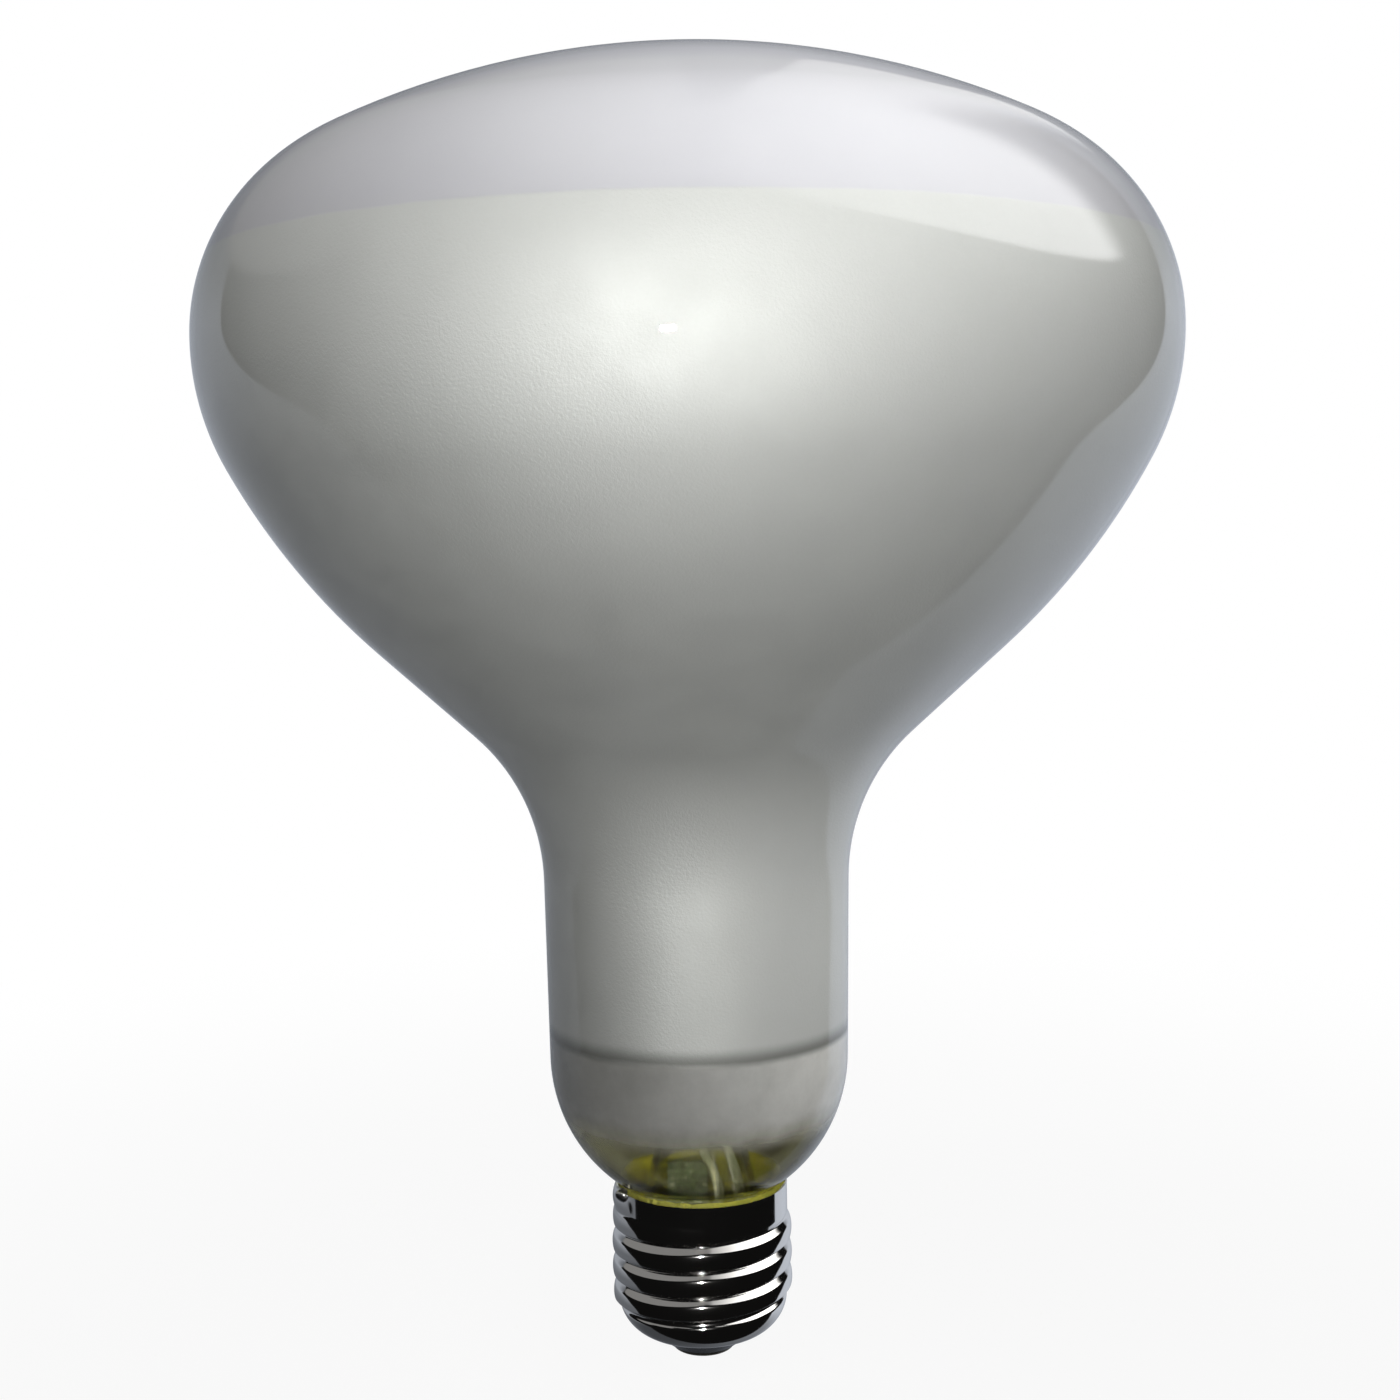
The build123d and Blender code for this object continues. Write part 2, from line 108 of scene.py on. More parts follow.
# %% [markdown]
# ## Shader sums
#
# A finish is easier to read as a formula than as a web of nodes. `Value` wraps the output of a
# node, so that a sum such as `1 - mask * 0.4` adds the Math nodes by itself. `Nodes` adds every
# other node through one method, which sets the node's own settings first and then its sockets.

# %% Value and Nodes


class Value:
    """A number that changes over the surface: the output socket of a node."""

    def __init__(self, nodes, socket):
        self.nodes = nodes
        self.socket = socket

    def math(self, operation, first, second=0.0):
        made = self.nodes.add("ShaderNodeMath", {"operation": operation}, {0: first, 1: second})
        return Value(self.nodes, made.outputs[0])

    def __add__(self, other):
        return self.math("ADD", self, other)

    def __radd__(self, other):
        return self.math("ADD", other, self)

    def __sub__(self, other):
        return self.math("SUBTRACT", self, other)

    def __rsub__(self, other):
        return self.math("SUBTRACT", other, self)

    def __mul__(self, other):
        return self.math("MULTIPLY", self, other)

    def __rmul__(self, other):
        return self.math("MULTIPLY", other, self)

    def __pow__(self, other):
        return self.math("POWER", self, other)

    def larger(self, other):
        return self.math("MAXIMUM", self, other)

    def smaller(self, other):
        return self.math("MINIMUM", self, other)

    def sine(self):
        return self.math("SINE", self)

    def root(self):
        return self.math("SQRT", self)

    def size(self):
        return self.math("ABSOLUTE", self)

    def step(self, low, high):
        """0 below low, 1 above high, and a smooth rise between them."""
        made = self.nodes.add(
            "ShaderNodeMapRange",
            {"interpolation_type": "SMOOTHSTEP"},
            {"Value": self, "From Min": low, "From Max": high},
        )
        return Value(self.nodes, made.outputs[0])

    def between(self, first, second):
        """The first number where the value is 0, the second where it is 1."""
        return first + (second - first) * self


class Nodes:
    """A node tree that is filled by formulas."""

    def __init__(self, tree):
        self.tree = tree
        tree.nodes.clear()

    def add(self, kind, settings=None, sockets=None):
        """Any node: its settings come first, then its sockets by name or number."""
        made = self.tree.nodes.new(kind)
        for name, value in (settings or {}).items():
            setattr(made, name, value)
        for name, value in (sockets or {}).items():
            socket = made.inputs[name]
            if isinstance(name, str):
                socket = next(s for s in made.inputs if s.name == name and s.enabled)
            if isinstance(value, Value):
                value = value.socket
            if isinstance(value, bpy.types.NodeSocket):
                self.tree.links.new(value, socket)
            else:
                socket.default_value = value
        return made

    def place(self):
        """The piece's own coordinates in millimetres, as one vector."""
        spot = self.add("ShaderNodeTexCoord").outputs["Object"]
        sockets = {"Vector": spot, "Scale": 1 / MM}
        return self.add("ShaderNodeVectorMath", {"operation": "SCALE"}, sockets).outputs[0]

    def axes(self, vector):
        """The three numbers of a vector."""
        parts = self.add("ShaderNodeSeparateXYZ", None, {0: vector})
        return [Value(self, out) for out in parts.outputs]

    def stretched(self, vector, factors):
        """The vector with each axis scaled, to draw a pattern out or squeeze it."""
        sockets = {0: vector, 1: factors}
        return self.add("ShaderNodeVectorMath", {"operation": "MULTIPLY"}, sockets).outputs[0]

    def grain(self, vector, per_mm, detail=2.0, roughness=0.5):
        """Soft random variation from 0 to 1, with that many lumps to the millimetre."""
        sockets = {"Vector": vector, "Scale": per_mm, "Detail": detail, "Roughness": roughness}
        return Value(self, self.add("ShaderNodeTexNoise", None, sockets).outputs[0])

    def cells(self, vector, per_mm, feature="F1"):
        """Distance to the nearest of many scattered points, or to the edge of its cell."""
        sockets = {"Vector": vector, "Scale": per_mm}
        made = self.add("ShaderNodeTexVoronoi", {"feature": feature}, sockets)
        return Value(self, made.outputs["Distance"])

    def mix(self, share, first, second):
        """A colour between two colours."""
        sockets = {"Factor": share, "A": first, "B": second}
        made = self.add("ShaderNodeMix", {"data_type": "RGBA"}, sockets)
        return next(out for out in made.outputs if out.enabled)

    def bump(self, height, depth, strength=1.0):
        """A normal that follows a height from 0 to 1, for a relief of that depth in millimetres."""
        sockets = {"Height": height, "Distance": depth * MM, "Strength": strength}
        return self.add("ShaderNodeBump", None, sockets).outputs[0]

    def surface(self, **sockets):
        """The main shader, with socket names written with underscores."""
        named = {name.replace("_", " "): value for name, value in sockets.items()}
        return self.add("ShaderNodeBsdfPrincipled", None, named).outputs[0]

    def blend(self, share, first, second):
        """A shader between two shaders."""
        return self.add("ShaderNodeMixShader", None, {0: share, 1: first, 2: second}).outputs[0]

    def output(self, shader):
        self.add("ShaderNodeOutputMaterial", None, {"Surface": shader})

    def dress(self, **sockets):
        """The main shader as the whole finish."""
        self.output(self.surface(**sockets))


def grey(level):
    return (level, level, level, 1)


def new_finish(name):
    """An empty material and its nodes."""
    material = bpy.data.materials.new(name)
    material.use_nodes = True
    return material, Nodes(material.node_tree)


print("shader helpers ready")

# %% [markdown]
# ## Light
#
# The lamp stands before a white sweep, in a room that is dark on the camera's side. Glass and
# nickel only show what they mirror, so that dark half is what draws the lamp: a clear field in the
# middle of the head and the neck, with a pale veil beside it. The world holds the sweep, whose edge
# comes nearer to the camera low down, and a bright ceiling panel with one dark stripe in it. The
# camera and the rays through glass see plain white, and what lights matt surfaces is an even level.

# %% World directions
world = bpy.data.worlds.new("world")
world.use_nodes = True
bpy.context.scene.world = world
nodes = Nodes(world.node_tree)
across, away, upward = nodes.axes(nodes.add("ShaderNodeTexCoord").outputs["Generated"])
print("directions: across to the right, away from the camera, upward")

# %% White sweep
sweep_edge = 0.655
sweep_turn = 0.07
sweep_softness = 0.012
low_edge_left = 0.1
low_edge_right = 0.37
low_edge_span = (-0.5, 0.5)
edge_rise = (-0.45, 0.12)

low_edge = across.step(*low_edge_span).between(low_edge_left, low_edge_right)
edge = upward.step(*edge_rise).between(low_edge, sweep_edge + sweep_turn * across)
in_sweep = (away - edge).step(-sweep_softness, sweep_softness)

sweep_left = 0.46
sweep_right = 0.75
sweep_span = (-0.15, 0.7)
low_share_left = 0.38
low_share_right = 0.95
low_share_span = (-0.3, 0.5)
low_rise = (-0.4, 0.0)
ground_share = 0.4
ground_rise = (-0.75, -0.45)
top_share = 0.4
top_rise = (0.08, 0.3)

low_share = across.step(*low_share_span).between(low_share_left, low_share_right)
sweep_level = across.step(*sweep_span).between(sweep_left, sweep_right)
sweep_level = sweep_level * upward.step(*low_rise).between(low_share, 1)
sweep_level = sweep_level * upward.step(*ground_rise).between(ground_share, 1)
sweep_level = sweep_level * upward.step(*top_rise).between(1, top_share)
print("sweep from", sweep_edge, "and low down from", low_edge_left, "to", low_edge_right)

# %% Ceiling panel
ceiling_edge = 0.74
ceiling_softness = 0.02
ceiling_spread = 0.45
ceiling_lean = 0.2
corner_span = (0.3, 0.5)

closeness = upward + across.size() * ceiling_spread + away * ceiling_lean
in_ceiling = closeness.step(ceiling_edge - ceiling_softness, ceiling_edge + ceiling_softness)
in_ceiling = in_ceiling * (1 - away.step(*corner_span) * across.step(*corner_span))

stripe_middle = 0.05
stripe_half_width = (0.03, 0.06)
stripe_start = (0.1, 0.3)
ceiling_left = 0.27
ceiling_step = 0.25
ceiling_step_span = (0.05, 0.12)
ceiling_rise = 3.2
ceiling_power = 1.6

beside_stripe = (across - stripe_middle).size().step(*stripe_half_width)
stripe = (1 - beside_stripe) * away.step(*stripe_start)
ceiling_level = ceiling_left + ceiling_step * across.step(*ceiling_step_span)
ceiling_level = ceiling_level + ceiling_rise * across.larger(0) ** ceiling_power
print("ceiling from", ceiling_edge)

# %% World levels
room_level = 0.006
matt_level = 0.07
sweep_tint = (0.89, 0.96, 1.09, 1)

path = nodes.add("ShaderNodeLightPath")
camera_ray = Value(nodes, path.outputs["Is Camera Ray"])
glass_ray = Value(nodes, path.outputs["Is Transmission Ray"])
glossy_ray = Value(nodes, path.outputs["Is Glossy Ray"])
mirrored_panel = in_ceiling * (1 - stripe) * ceiling_level
mirrored = (in_sweep * sweep_level).larger(mirrored_panel) + room_level
level = glossy_ray.between(matt_level, mirrored)
level = camera_ray.larger(glass_ray).between(level, 1)
tint = nodes.mix(glossy_ray * in_sweep * (1 - in_ceiling), grey(1), sweep_tint)
background = nodes.add("ShaderNodeBackground", None, {"Color": tint, "Strength": level})
nodes.add("ShaderNodeOutputWorld", None, {"Surface": background.outputs[0]})
print("matt surfaces see", matt_level)

# %% Lamps
beam_blend = 0.5
lamp_radius = 0.06


def hang(data, place, aim):
    """Puts a lamp in its place and turns it towards a point."""
    lamp = bpy.data.objects.new(data.name, data)
    lamp.location = place
    lamp.rotation_euler = (Vector(aim) - Vector(place)).to_track_quat("-Z", "Y").to_euler()
    bpy.context.scene.collection.objects.link(lamp)
    return lamp


def spot_lamp(name, place, aim, beam, watts, radius=lamp_radius):
    """A lamp with a soft-edged beam in degrees, which lights only the matt surfaces it is aimed at."""
    data = bpy.data.lights.new(name, "SPOT")
    data.spot_size = radians(beam)
    data.spot_blend = beam_blend
    data.shadow_soft_size = radius
    data.energy = watts
    lamp = hang(data, place, aim)
    lamp.visible_glossy = False
    return lamp


flash_data = bpy.data.lights.new("flash", "AREA")
flash_data.shape = "RECTANGLE"
flash_data.size = 12 * MM
flash_data.size_y = 8 * MM
flash_data.energy = 1.15
flash = hang(flash_data, place=(-18 * MM, -290 * MM, 107 * MM), aim=(0, 0, 140 * MM))
flash.visible_diffuse = False
spot_lamp("head_spot", place=(0.17, -0.643, 0.394), aim=(0, 0, 0.178), beam=12.6, watts=37)
spot_lamp("neck_spot", place=(0.456, -0.203, 0.09), aim=(0, 0, 0.058), beam=6.6, watts=4.8, radius=0.02)
spot_lamp("cap_spot", place=(0.25, -0.43, 0.10), aim=(0, 0, 0.030), beam=8, watts=7.0)
spot_lamp("dome_spot", place=(-0.20, -0.05, 0.68), aim=(-0.02, 0, 0.175), beam=17, watts=3.8)
print("lamps", [lamp.name for lamp in bpy.data.lights])

# %% Floor
floor_radius = 3.0
floor_segments = 96
shade_start = 40
shade_end = 300
shade_share = 0.07
paper_shades = (grey(0.78), grey(0.82))

floor_mesh = bmesh.new()
bmesh.ops.create_circle(floor_mesh, cap_ends=True, segments=floor_segments, radius=floor_radius)
floor_data = bpy.data.meshes.new("floor")
floor_mesh.to_mesh(floor_data)
floor_mesh.free()
ground = bpy.data.objects.new("floor", floor_data)
bpy.context.scene.collection.objects.link(ground)
ground.visible_glossy = False

paper, nodes = new_finish("white_paper")
spot = nodes.place()
x, y = nodes.axes(spot)[:2]
far = (x * x + y * y).root().step(shade_start, shade_end)
tooth = nodes.grain(spot, per_mm=1.5, detail=4.0)
matt = nodes.surface(Base_Color=nodes.mix(tooth, *paper_shades), Roughness=0.9)
white = nodes.add("ShaderNodeEmission", None, {"Color": grey(1), "Strength": 1.0})
camera_ray = Value(nodes, nodes.add("ShaderNodeLightPath").outputs["Is Camera Ray"])
share = camera_ray * far.between(1 - shade_share, 1)
nodes.output(nodes.blend(share, matt, white.outputs[0]))
floor_data.materials.append(paper)
print("floor", floor_radius, "m")

# %% [markdown]
# ## A pen for turned pieces
#
# Glass bulbs and metal caps are turned shapes: an outline, spun about the axis. The outline of
# blown or rolled ware is a chain of straight runs and arcs that flow into each other, so a pen with
# a place and a heading draws it well. A run extrudes the last vertex, and a turn spins it about the
# centre of the arc.

# %% Pen


class Pen:
    """Draws an outline in the XZ plane, in millimetres. The heading is in degrees from +X to +Z."""

    def __init__(self, mesh, radius, height, heading):
        self.mesh = mesh
        self.tip = mesh.verts.new((radius * MM, 0, height * MM))
        self.first = self.tip
        self.heading = heading

    def run(self, length, steps=1):
        ahead = radians(self.heading)
        along = Vector((cos(ahead), 0, sin(ahead))) * length * MM / steps
        for _ in range(steps):
            made = bmesh.ops.extrude_vert_indiv(self.mesh, verts=[self.tip])
            self.tip = made["verts"][0]
            self.tip.co += along
        return self

    def to(self, radius, height, steps=1):
        goal = Vector((radius * MM, 0, height * MM)) - self.tip.co
        self.heading = degrees(atan2(goal.z, goal.x))
        return self.run(goal.length / MM, steps)

    def turn(self, radius, angle, steps):
        """An arc to the left for a positive angle, and to the right for a negative one."""
        side = radians(self.heading + (90 if angle > 0 else -90))
        centre = self.tip.co + Vector((cos(side), 0, sin(side))) * radius * MM
        made = bmesh.ops.spin(
            self.mesh,
            geom=[self.tip],
            cent=centre,
            axis=(0, -1, 0),
            angle=radians(angle),
            steps=steps,
        )
        self.tip = next(part for part in made["geom_last"] if isinstance(part, bmesh.types.BMVert))
        self.heading += angle
        return self


merge_distance = 0.002 * MM


def spin_round(mesh, steps):
    """Spins the whole outline about the lamp's axis and closes the seam and the poles."""
    bmesh.ops.spin(
        mesh,
        geom=mesh.verts[:] + mesh.edges[:],
        cent=(0, 0, 0),
        axis=(0, 0, 1),
        angle=2 * pi,
        steps=steps,
        use_merge=True,
    )
    bmesh.ops.remove_doubles(mesh, verts=mesh.verts, dist=merge_distance)
    bmesh.ops.recalc_face_normals(mesh, faces=mesh.faces)


def new_piece(mesh, name, finishes, slot, *nodes, crease=35):
    """The finished mesh as a piece of the lamp that stands for those nodes."""
    for face in mesh.faces:
        face.smooth = True
    data = bpy.data.meshes.new(name)
    mesh.to_mesh(data)
    mesh.free()
    data.set_sharp_from_angle(angle=radians(crease))
    for finish in finishes:
        data.materials.append(finish)
    piece = bpy.data.objects.new(name, data)
    bpy.context.scene.collection.objects.link(piece)
    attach(piece, "root")
    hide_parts(*nodes)
    spots = [vertex.co / MM for vertex in data.vertices]
    box = [[round(min(axis), 2), round(max(axis), 2)] for axis in zip(*spots)]
    print(name, len(data.polygons), "faces, box in mm", box)


# %% [markdown]
# ## Envelope
#
# The bulb is blown in one piece: a spigot that sits in the cap, a round bowl, the neck, a flare, a
# short cone, two arcs under the head, a tight shoulder and the shallow dome of the front. A wall of
# one millimetre follows it. The lining and the frosting lie on the inside, straight behind clear
# glass, so from outside they are a coloured base under a clear coat, and one opaque finish shows
# both. Only the foot is real glass that light goes through.

# %% Envelope outline
glass_low, glass_high = (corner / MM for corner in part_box("glass_envelope"))
rim_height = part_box("cap_shell")[1].z / MM
head_radius = glass_high.x
mouth_height = glass_low.z
glass_wall = 1.0
spigot_radius = 11.3
spigot_fillet_radius = 2.0
rim_fillet_angle = 30
bowl_radius = 22.6
neck_bottom_radius = 21.85
neck_top_radius = 22.37
neck_length = 25.9
flare_radius = 30.1
cone_angle = 47.7
underside_lower_radius = 101.0
underside_upper_radius = 39.2
underside_joint_angle = 28.6
shoulder_radius = 31.0
dome_radius = 118.3

neck_lean = degrees(asin((neck_top_radius - neck_bottom_radius) / neck_length))
cone_cosine = cos(radians(cone_angle))
joint_cosine = cos(radians(underside_joint_angle))
fillet_x = spigot_radius + spigot_fillet_radius
fillet_height = rim_height - spigot_fillet_radius * sin(radians(rim_fillet_angle))
bowl_x = neck_bottom_radius - bowl_radius * cos(radians(neck_lean))
bowl_rise = sqrt((bowl_radius + spigot_fillet_radius) ** 2 - (fillet_x - bowl_x) ** 2)
bowl_angle = degrees(atan2(bowl_rise, fillet_x - bowl_x))
flare_reach = flare_radius * (cos(radians(neck_lean)) - cone_cosine)
lower_reach = underside_lower_radius * (joint_cosine - cone_cosine)
upper_reach = underside_upper_radius * (1 - joint_cosine)
cone_reach = head_radius - neck_top_radius - flare_reach - lower_reach - upper_reach
cone_length = cone_reach / sin(radians(cone_angle))
dome_reach = head_radius - shoulder_radius
dome_rise = sqrt((dome_radius - shoulder_radius) ** 2 - dome_reach**2)
dome_angle = degrees(atan2(dome_rise, dome_reach))
print("bowl", round(bowl_angle, 2), "cone", round(cone_length, 2), "dome", round(dome_angle, 2))


def glass_line(mesh, inset):
    """The outline of the glass from its mouth to the top, moved inwards by inset."""
    pen = Pen(mesh, spigot_radius - inset, mouth_height, heading=90)
    pen.run(fillet_height - mouth_height, steps=6)
    pen.turn(spigot_fillet_radius + inset, -bowl_angle, steps=14)
    pen.turn(bowl_radius - inset, bowl_angle - neck_lean, steps=26)
    pen.run(neck_length, steps=12)
    pen.turn(flare_radius + inset, neck_lean - cone_angle, steps=18)
    pen.run(cone_length, steps=6)
    pen.turn(underside_lower_radius - inset, cone_angle - underside_joint_angle, steps=16)
    pen.turn(underside_upper_radius - inset, underside_joint_angle, steps=14)
    pen.turn(shoulder_radius - inset, dome_angle, steps=26)
    pen.turn(dome_radius - inset, 90 - dome_angle, steps=22)
    return pen


# %% Lined glass
lining_low, lining_high = (corner.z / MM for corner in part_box("reflector_coating"))
front_edge = (lining_high - 0.25, lining_high + 0.25)
front_wander = 0.5
foot_edge = (lining_low - 0.7, lining_low + 0.5)
# The lining turns darker in a band just above its lower edge.
low_band_rise = (lining_low + 0.3, lining_low + 2.6)
foot_wander = 0.8
lining_shades = ((0.58, 0.59, 0.565, 1), (0.66, 0.67, 0.645, 1))
lining_low_band = (0.28, 0.285, 0.265, 1)
lining_metallic = 0.4
frost_shades = ((0.50, 0.50, 0.525, 1), (0.56, 0.56, 0.58, 1))
foot_shades = ((0.55, 0.545, 0.505, 1), (0.86, 0.855, 0.815, 1))
frost_roughness = 0.5
satin_roughness = 0.22
flake_roughness = 0.1
patch_roughness = 0.16
coat_look = {"Coat_Weight": 1.0, "Coat_Roughness": 0.015, "Coat_IOR": 1.5}


def lined_shader(nodes):
    """Frosted foot, satin lining and frosted front behind clear glass."""
    spot = nodes.place()
    z = nodes.axes(spot)[2]
    wander = nodes.grain(spot, per_mm=0.12, detail=3.0) - 0.5
    front = (z + wander * front_wander).step(*front_edge)
    above_foot = (z + wander * foot_wander).step(*foot_edge)
    # 0 in the darker band along the lining's lower edge, 1 above it.
    above_low_band = (z + wander * foot_wander).step(*low_band_rise)
    cloud = nodes.grain(spot, per_mm=0.035, detail=3.0, roughness=0.6)
    patch = nodes.grain(spot, per_mm=0.16, detail=4.0, roughness=0.65)
    flakes = nodes.grain(spot, per_mm=2.6, detail=2.0, roughness=0.7)
    # Near its lower edge the lining's colour goes darker.
    metal = nodes.mix(above_low_band, lining_low_band, nodes.mix(cloud, *lining_shades))
    back = nodes.mix(above_foot, nodes.mix(patch, *foot_shades), metal)
    satin = above_foot * (1 - front)
    uneven = flake_roughness * (flakes - 0.5) + patch_roughness * (patch - 0.5)
    return nodes.surface(
        Base_Color=nodes.mix(front, back, nodes.mix(cloud, *frost_shades)),
        Metallic=satin * lining_metallic,
        Roughness=frost_roughness + satin * (satin_roughness + uneven),
        Normal=nodes.bump(flakes * satin, depth=0.06, strength=0.8),
        Specular_Tint=grey(0.15),
        **coat_look,
    )


lined_glass, nodes = new_finish("lined_glass")
nodes.output(lined_shader(nodes))
print("lining from", round(lining_low, 1), "to", round(lining_high, 1))

# %% Clear glass
foot_tints = ((0.58, 0.56, 0.38, 1), (0.68, 0.66, 0.50, 1))
glass_index = 1.5
lamp_light_kept = grey(0.9)
frost_edge_low = 32.5
frost_edge_high = 40.0
frost_edge_ragged = 1.6


def clear_shader(nodes, dark, pale):
    """Clear blown glass, which lets lamps light what is behind it."""
    haze = nodes.grain(nodes.place(), per_mm=0.08, detail=3.0)
    glass = nodes.surface(
        Base_Color=nodes.mix(haze, dark, pale),
        Roughness=haze.between(0.03, 0.08),
        Transmission_Weight=1.0,
        IOR=glass_index,
    )
    clear = nodes.add("ShaderNodeBsdfTransparent", None, {"Color": lamp_light_kept})
    lamp_ray = nodes.add("ShaderNodeLightPath").outputs["Is Shadow Ray"]
    return nodes.blend(lamp_ray, glass, clear.outputs[0])


clear_glass, nodes = new_finish("clear_glass")
nodes.output(clear_shader(nodes, *foot_tints))

fading_frost, nodes = new_finish("fading_frost")
spot = nodes.place()
z = nodes.axes(spot)[2]
ragged = z + (nodes.grain(spot, per_mm=0.3, detail=3.0) - 0.5) * frost_edge_ragged
half_ragged = frost_edge_ragged / 2
covered = ragged.step(frost_edge_low + half_ragged, frost_edge_high - half_ragged)
nodes.output(nodes.blend(covered, clear_shader(nodes, *foot_tints), lined_shader(nodes)))
print("frost fades in from", frost_edge_low, "to", frost_edge_high)

# %% Envelope
envelope_segments = 192

mesh = bmesh.new()
outer = glass_line(mesh, 0)
inner = glass_line(mesh, glass_wall)
for pen in (outer, inner):
    pen.tip.co.x = 0
mesh.edges.new((outer.first, inner.first))
spin_round(mesh, envelope_segments)
for height in (frost_edge_low, frost_edge_high):
    everything = mesh.verts[:] + mesh.edges[:] + mesh.faces[:]
    level_plane = {"plane_co": (0, 0, height * MM), "plane_no": (0, 0, 1)}
    bmesh.ops.bisect_plane(mesh, geom=everything, **level_plane)
for face in mesh.faces:
    height = face.calc_center_median().z / MM
    face.material_index = (height >= frost_edge_low) + (height >= frost_edge_high)
glass_finishes = [clear_glass, fading_frost, lined_glass]
new_piece(mesh, "envelope", glass_finishes, "envelope_glass", "glass_envelope")

# %% [markdown]
# ## Cap shell
#
# The cap is drawn from thin sheet and its thread is rolled in, so the same wave shows inside and
# outside. A thread could be spun as a screw, but its two ends have to sink into the plain wall. So
# the plain wall is spun with many rings, and each vertex is then pushed out by the height of the
# ridge at its place, which fades at both ends.

# %% Nickel
nickel_shades = ((0.66, 0.64, 0.61, 1), (0.74, 0.725, 0.70, 1))

nickel, nodes = new_finish("nickel_plate")
spot = nodes.place()
rolled = nodes.grain(nodes.stretched(spot, (0.25, 0.25, 6.0)), per_mm=1.0, detail=3.0)
smear = nodes.grain(spot, per_mm=0.25, detail=4.0, roughness=0.6)
nodes.dress(
    Base_Color=nodes.mix(smear, *nickel_shades),
    Metallic=1.0,
    Roughness=smear.between(0.05, 0.11),
    Normal=nodes.bump(rolled, depth=0.002, strength=0.4),
)
print("finish", nickel.name)

# %% Thread
core_radius = 12.3
thread_depth = 0.88
pitch = 3.629
thread_start = 7.98
thread_start_angle = 270
lower_fade = (-0.4, 0.45)
upper_fade = (3.1, 3.8)
crest_middle = 1.54
crest_round = 4.0
upper_slope = 0.89
lower_slope = 2.2
root_softness = 0.12
corner_softness = 0.05
last_groove_depth = 0.5
last_groove_reach = 0.8
last_groove_fade = (0.2, 0.45)


def smooth_share(value, low, high):
    """0 below low, 1 above high, and a smooth rise between them."""
    share = min(1, max(0, (value - low) / (high - low)))
    return share * share * (3 - 2 * share)


def softly(distance):
    """A distance from a groove, with its start rounded."""
    return sqrt(distance**2 + root_softness**2) - root_softness


def ridge_height(rise):
    """Height of the ridge at a rise above the groove under it: steep below, broad, sloping above."""
    crest = thread_depth - (rise - crest_middle) ** 2 / (2 * crest_round)
    lower_flank = lower_slope * softly(rise)
    upper_flank = upper_slope * softly(pitch - rise)
    limits = (crest, lower_flank, upper_flank)
    return -corner_softness * log(sum(exp(-limit / corner_softness) for limit in limits))


def thread_lift(angle, height):
    """How far the thread stands out of the wall at an angle in degrees and a height."""
    part_turn = (angle - thread_start_angle + 180) % 360 / 360 - 0.5
    turns_up = (height - thread_start) / pitch
    groove = floor(turns_up - part_turn) + part_turn
    ridge = groove + 0.5
    share = smooth_share(ridge, *lower_fade) * (1 - smooth_share(ridge, *upper_fade))
    rise = (turns_up - groove) * pitch
    first = round(turns_up - part_turn) + part_turn
    last = 1 - smooth_share(abs(first), *last_groove_fade)
    from_first = (turns_up - first) * pitch / last_groove_reach
    groove_depth = last * last_groove_depth * max(0, 1 - from_first**2)
    return share * ridge_height(rise) - groove_depth


print("ridge", round(max(ridge_height(pitch * part / 100) for part in range(101)), 2), "mm")

# %% Cap shell
foot_height = 8.2
lip_radius = 7.8
lip_height = 2.9
core_top = 19.2
skirt_step = 1.0
skirt_radius = 12.6
shell_wall = 0.3
shell_segments = 180
shell_crease = 85
foot_run = core_radius - lip_radius
foot_rise = foot_height - lip_height
foot_radius = (foot_run**2 + foot_rise**2) / (2 * foot_run)
foot_angle = degrees(asin(foot_rise / foot_radius))
swell_depth = 0.45
swell_angle = 184
swell_half_angle = 34
swell_height = 22.5
swell_half_height = 1.7


def swell(angle, height):
    """Outward swell of the skirt beside its soldered joint."""
    round_cap = max(0, 1 - ((angle - swell_angle) / swell_half_angle) ** 2)
    along_axis = max(0, 1 - ((height - swell_height) / swell_half_height) ** 2)
    return swell_depth * round_cap * along_axis


mesh = bmesh.new()
pen = Pen(mesh, lip_radius, lip_height, heading=90 - foot_angle)
pen.turn(foot_radius, foot_angle, steps=40)
pen.to(core_radius, core_top, steps=170)
pen.to(skirt_radius, core_top + skirt_step, steps=8)
pen.to(skirt_radius, rim_height, steps=24)
spin_round(mesh, shell_segments)
for vertex in mesh.verts:
    height = vertex.co.z / MM
    angle = degrees(atan2(vertex.co.y, vertex.co.x)) % 360
    plain = vertex.co.xy.length / MM
    lift = thread_lift(angle, height)
    if height > core_top:
        lift = max(0, lift + core_radius - plain)
    vertex.co.xy = vertex.co.xy.normalized() * (plain + lift + swell(angle, height)) * MM
bmesh.ops.recalc_face_normals(mesh, faces=mesh.faces)
bmesh.ops.solidify(mesh, geom=mesh.faces, thickness=shell_wall * MM)
new_piece(mesh, "cap_shell_rolled", [nickel], "nickel_plate", "cap_shell", crease=shell_crease)

# %% [markdown]
# ## Cement and solder
#
# Cement is squeezed out of the gap between glass and shell when the cap is pressed on, so its bead
# is uneven. The solder that holds the thin lead on the rim is a frozen drop. Both start as clean
# shapes, and soft noise makes them hand-made.

# %% Cement bead
cement_shades = ((0.30, 0.29, 0.012, 1), (0.52, 0.50, 0.03, 1))
cement_gap = 0.03
cement_bottom = 17.1
cement_segments = 200
bead_angle = 46
bead_tuck = 0.1
bead_edge = 0.3
bead_lump = 0.22
bead_lump_size = 1.1
fine_lump_share = 0.5
fine_lump_factor = 3
skirt_inside = skirt_radius - shell_wall - cement_gap
core_inside = core_radius - shell_wall - cement_gap

